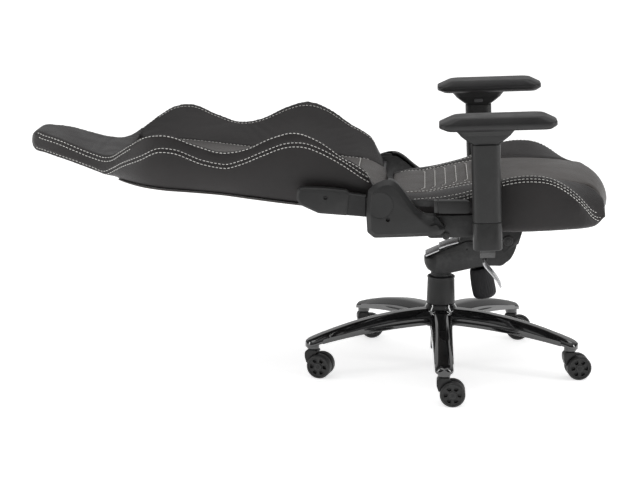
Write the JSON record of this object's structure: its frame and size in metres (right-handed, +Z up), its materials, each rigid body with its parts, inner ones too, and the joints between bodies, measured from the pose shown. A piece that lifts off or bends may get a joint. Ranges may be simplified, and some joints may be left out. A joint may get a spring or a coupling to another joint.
{
  "type": "gaming chair",
  "caption": "Racing-style gaming chair laid flat: bucket seat, winged reclining back, adjustable armrests, tilt mechanism, gas lift and star base on casters.",
  "frame": {"origin": "on the floor, at the middle of the bounding box in plan", "axes": "+X is the way the sitter faces and the length of the laid-flat chair, +Y is the sitter's left, +Z is up"},
  "size_m": [1.4084, 0.725, 0.6864],
  "materials": {
    "leatherette": "satin",
    "side_leatherette": "satin",
    "matte_plastic": "matte",
    "button_plastic": "satin",
    "soft_pad": "satin",
    "gloss_black": "gloss",
    "black_steel": "satin",
    "housing_metal": "satin",
    "bright_steel": "satin",
    "knob_rubber": "matte",
    "caster_plastic": "satin",
    "caster_tread": "matte",
    "thread": "matte"
  },
  "bodies": {
    "base": {"star_base": "gloss_black", "gas_lift_tube": "black_steel", "column_cover_lower": "matte_plastic"},
    "cover_middle": {"column_cover_middle": "matte_plastic"},
    "lift": {"gas_lift_piston": "bright_steel", "column_cover_upper": "matte_plastic"},
    "mechanism": {"tilt_housing": "housing_metal", "tension_spring": "bright_steel"},
    "tension_knob": {"tension_knob": "knob_rubber"},
    "height_lever": {"height_lever": "bright_steel"},
    "tilt_lock_lever": {"tilt_lock_lever": "bright_steel"},
    "seat": {"seat_plate": "black_steel", "seat_frame": "black_steel", "seat_cushion": "leatherette", "seat_bolster_left": "side_leatherette", "hinge_bracket_left": "black_steel", "hinge_cover_left": "matte_plastic", "arm_bracket_left": "black_steel", "arm_lower_sleeve_left": "matte_plastic", "seat_bolster_right": "side_leatherette", "hinge_bracket_right": "black_steel", "hinge_cover_right": "matte_plastic", "arm_bracket_right": "black_steel", "arm_lower_sleeve_right": "matte_plastic"},
    "back": {"back_frame": "black_steel", "back_cushion": "leatherette", "back_panel": "side_leatherette", "headrest": "leatherette", "back_wing_left": "side_leatherette", "hinge_arm_cover_left": "matte_plastic", "back_wing_right": "side_leatherette", "hinge_arm_cover_right": "matte_plastic"},
    "recline_lever": {"recline_lever": "matte_plastic", "recliner_shaft": "bright_steel"},
    "arm_left": {"arm_upper_sleeve_left": "matte_plastic"},
    "arm_button_left": {"arm_button_left": "button_plastic"},
    "arm_turntable_left": {"arm_turntable_left": "black_steel"},
    "arm_carriage_left": {"arm_carriage_left": "matte_plastic"},
    "arm_pad_left": {"arm_pad_left": "soft_pad"},
    "arm_right": {"arm_upper_sleeve_right": "matte_plastic"},
    "arm_button_right": {"arm_button_right": "button_plastic"},
    "arm_turntable_right": {"arm_turntable_right": "black_steel"},
    "arm_carriage_right": {"arm_carriage_right": "matte_plastic"},
    "arm_pad_right": {"arm_pad_right": "soft_pad"},
    "caster_1": {"caster_fork_1": "caster_plastic"},
    "caster_2": {"caster_fork_2": "caster_plastic"},
    "caster_3": {"caster_fork_3": "caster_plastic"},
    "caster_4": {"caster_fork_4": "caster_plastic"},
    "caster_5": {"caster_fork_5": "caster_plastic"},
    "wheel_1_left": {"caster_wheel_1_left": "caster_tread"},
    "wheel_1_right": {"caster_wheel_1_right": "caster_tread"},
    "wheel_2_left": {"caster_wheel_2_left": "caster_tread"},
    "wheel_2_right": {"caster_wheel_2_right": "caster_tread"},
    "wheel_3_left": {"caster_wheel_3_left": "caster_tread"},
    "wheel_3_right": {"caster_wheel_3_right": "caster_tread"},
    "wheel_4_left": {"caster_wheel_4_left": "caster_tread"},
    "wheel_4_right": {"caster_wheel_4_right": "caster_tread"},
    "wheel_5_left": {"caster_wheel_5_left": "caster_tread"},
    "wheel_5_right": {"caster_wheel_5_right": "caster_tread"}
  },
  "joints": [
    {"name": "recline", "type": "hinge", "parent": "seat", "child": "back", "pos_m": [0.154, 0, 0.468], "axis": [0, 1, 0], "range_deg": [0, 80]},
    {"name": "seat_tilt", "type": "hinge", "parent": "mechanism", "child": "seat", "pos_m": [0.462, 0, 0.332], "axis": [0, -1, 0], "range_deg": [0, 12], "stiffness_Nm_per_rad": 220, "springref_deg": -34.38},
    {"name": "lift", "type": "slide", "parent": "base", "child": "lift", "axis": [0, 0, 1], "range_m": [0, 0.08]},
    {"name": "cover_lift", "type": "slide", "parent": "base", "child": "cover_middle", "axis": [0, 0, 1], "range_m": [0, 0.04]},
    {"name": "swivel", "type": "hinge", "parent": "lift", "child": "mechanism", "pos_m": [0.3, 0, 0.25], "axis": [0, 0, 1], "continuous": true},
    {"name": "recline_lever_pull", "type": "hinge", "parent": "seat", "child": "recline_lever", "pos_m": [0.154, 0, 0.468], "axis": [0, -1, 0], "range_deg": [0, 22], "stiffness_Nm_per_rad": 4, "springref_deg": -8.59},
    {"name": "tension_knob_turn", "type": "hinge", "parent": "mechanism", "child": "tension_knob", "pos_m": [0.394, 0, 0.258], "axis": [-0.2079, 0, 0.9781], "continuous": true},
    {"name": "height_lever_pull", "type": "hinge", "parent": "mechanism", "child": "height_lever", "pos_m": [0.403, -0.1, 0.3], "axis": [0, -1, 0], "range_deg": [0, 12], "stiffness_Nm_per_rad": 2, "springref_deg": -11.46},
    {"name": "tilt_lock_turn", "type": "hinge", "parent": "mechanism", "child": "tilt_lock_lever", "pos_m": [0.36, 0.1, 0.292], "axis": [0, 1, 0], "range_deg": [0, 20]},
    {"name": "arm_height_left", "type": "slide", "parent": "seat", "child": "arm_left", "axis": [-0.0384, 0, 0.9993], "range_m": [0, 0.07]},
    {"name": "arm_button_press_left", "type": "slide", "parent": "arm_left", "child": "arm_button_left", "axis": [0, 1, 0], "range_m": [0, 0.002], "stiffness_N_per_m": 500, "springref_m": -0.002},
    {"name": "arm_turn_left", "type": "hinge", "parent": "arm_left", "child": "arm_turntable_left", "pos_m": [0.39268, 0.315, 0.63729], "axis": [-0.0384, 0, 0.9993], "range_deg": [-20, 20]},
    {"name": "arm_slide_left", "type": "slide", "parent": "arm_turntable_left", "child": "arm_carriage_left", "axis": [0.9993, 0, 0.0384], "range_m": [-0.025, 0.025]},
    {"name": "arm_width_left", "type": "slide", "parent": "arm_carriage_left", "child": "arm_pad_left", "axis": [0, 1, 0], "range_m": [0, 0.025]},
    {"name": "arm_height_right", "type": "slide", "parent": "seat", "child": "arm_right", "axis": [-0.0384, 0, 0.9993], "range_m": [0, 0.07]},
    {"name": "arm_button_press_right", "type": "slide", "parent": "arm_right", "child": "arm_button_right", "axis": [0, -1, 0], "range_m": [0, 0.002], "stiffness_N_per_m": 500, "springref_m": -0.002},
    {"name": "arm_turn_right", "type": "hinge", "parent": "arm_right", "child": "arm_turntable_right", "pos_m": [0.39268, -0.315, 0.63729], "axis": [-0.0384, 0, 0.9993], "range_deg": [-20, 20]},
    {"name": "arm_slide_right", "type": "slide", "parent": "arm_turntable_right", "child": "arm_carriage_right", "axis": [0.9993, 0, 0.0384], "range_m": [-0.025, 0.025]},
    {"name": "arm_width_right", "type": "slide", "parent": "arm_carriage_right", "child": "arm_pad_right", "axis": [0, -1, 0], "range_m": [0, 0.025]},
    {"name": "caster_swivel_1", "type": "hinge", "parent": "base", "child": "caster_1", "pos_m": [0.30691, -0.32993, 0.08], "axis": [0, 0, 1], "continuous": true},
    {"name": "caster_swivel_2", "type": "hinge", "parent": "base", "child": "caster_2", "pos_m": [0.61591, -0.09538, 0.08], "axis": [0, 0, 1], "continuous": true},
    {"name": "caster_swivel_3", "type": "hinge", "parent": "base", "child": "caster_3", "pos_m": [0.48834, 0.27098, 0.08], "axis": [0, 0, 1], "continuous": true},
    {"name": "caster_swivel_4", "type": "hinge", "parent": "base", "child": "caster_4", "pos_m": [0.10048, 0.26286, 0.08], "axis": [0, 0, 1], "continuous": true},
    {"name": "caster_swivel_5", "type": "hinge", "parent": "base", "child": "caster_5", "pos_m": [-0.01164, -0.10853, 0.08], "axis": [0, 0, 1], "continuous": true},
    {"name": "wheel_roll_1_left", "type": "hinge", "parent": "caster_1", "child": "wheel_1_left", "pos_m": [0.32691, -0.32993, 0.03], "axis": [0, 1, 0], "continuous": true},
    {"name": "wheel_roll_1_right", "type": "hinge", "parent": "caster_1", "child": "wheel_1_right", "pos_m": [0.32691, -0.32993, 0.03], "axis": [0, 1, 0], "continuous": true},
    {"name": "wheel_roll_2_left", "type": "hinge", "parent": "caster_2", "child": "wheel_2_left", "pos_m": [0.63572, -0.0926, 0.03], "axis": [-0.1392, 0.9903, 0], "continuous": true},
    {"name": "wheel_roll_2_right", "type": "hinge", "parent": "caster_2", "child": "wheel_2_right", "pos_m": [0.63572, -0.0926, 0.03], "axis": [-0.1392, 0.9903, 0], "continuous": true},
    {"name": "wheel_roll_3_left", "type": "hinge", "parent": "caster_3", "child": "wheel_3_left", "pos_m": [0.50803, 0.26751, 0.03], "axis": [0.1736, 0.9848, 0], "continuous": true},
    {"name": "wheel_roll_3_right", "type": "hinge", "parent": "caster_3", "child": "wheel_3_right", "pos_m": [0.50803, 0.26751, 0.03], "axis": [0.1736, 0.9848, 0], "continuous": true},
    {"name": "wheel_roll_4_left", "type": "hinge", "parent": "caster_4", "child": "wheel_4_left", "pos_m": [0.12018, 0.26633, 0.03], "axis": [-0.1736, 0.9848, 0], "continuous": true},
    {"name": "wheel_roll_4_right", "type": "hinge", "parent": "caster_4", "child": "wheel_4_right", "pos_m": [0.12018, 0.26633, 0.03], "axis": [-0.1736, 0.9848, 0], "continuous": true},
    {"name": "wheel_roll_5_left", "type": "hinge", "parent": "caster_5", "child": "wheel_5_left", "pos_m": [0.00767, -0.1137, 0.03], "axis": [0.2588, 0.9659, 0], "continuous": true},
    {"name": "wheel_roll_5_right", "type": "hinge", "parent": "caster_5", "child": "wheel_5_right", "pos_m": [0.00767, -0.1137, 0.03], "axis": [0.2588, 0.9659, 0], "continuous": true}
  ],
  "couplings": [
    {"joint": "cover_lift", "follows": "lift", "ratio": 0.5}
  ]
}
